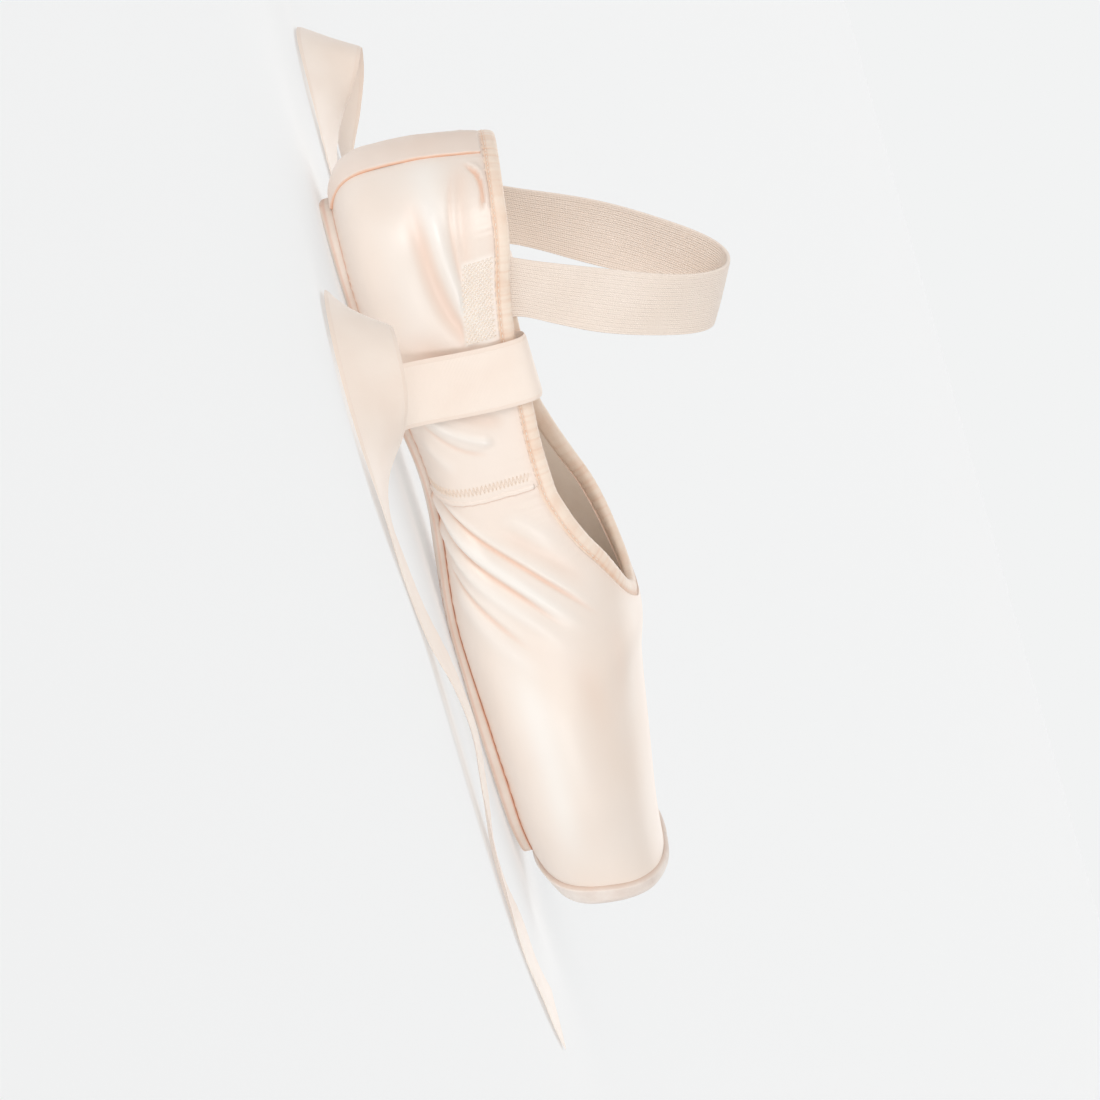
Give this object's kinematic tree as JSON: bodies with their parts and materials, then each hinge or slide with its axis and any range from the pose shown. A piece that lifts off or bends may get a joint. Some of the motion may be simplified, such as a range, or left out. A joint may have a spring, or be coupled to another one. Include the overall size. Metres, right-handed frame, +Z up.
{
  "type": "pointe shoe",
  "caption": "Satin ballet pointe shoe with a stiff box, flat suede-capped platform, thin leather sole, ankle elastic and ribbons.",
  "frame": {"origin": "on the floor under the middle of the shoe's length and width, measured without the ribbons", "axes": "+X to the toe, +Y to the inner side of the foot, +Z up"},
  "size_m": [0.2719, 0.2748, 0.1085],
  "materials": {
    "satin": "peach satin, glossy along the weave",
    "binding": "gathered cotton and satin tape",
    "suede": "matt suede",
    "sole_leather": "smooth matt leather",
    "insole": "plain cotton lining",
    "elastic": "ribbed knitted elastic",
    "ribbon": "soft satin ribbon"
  },
  "bodies": {
    "root": {"outsole": "sole_leather", "upper": "satin", "insole": "insole", "heel_strip": "satin", "side_seam_outer": "satin", "side_seam_inner": "satin", "toe_suede": "suede", "collar_binding": "binding", "elastic_strap": "elastic", "ribbon_outer": "ribbon", "ribbon_inner": "ribbon"}
  },
  "joints": []
}
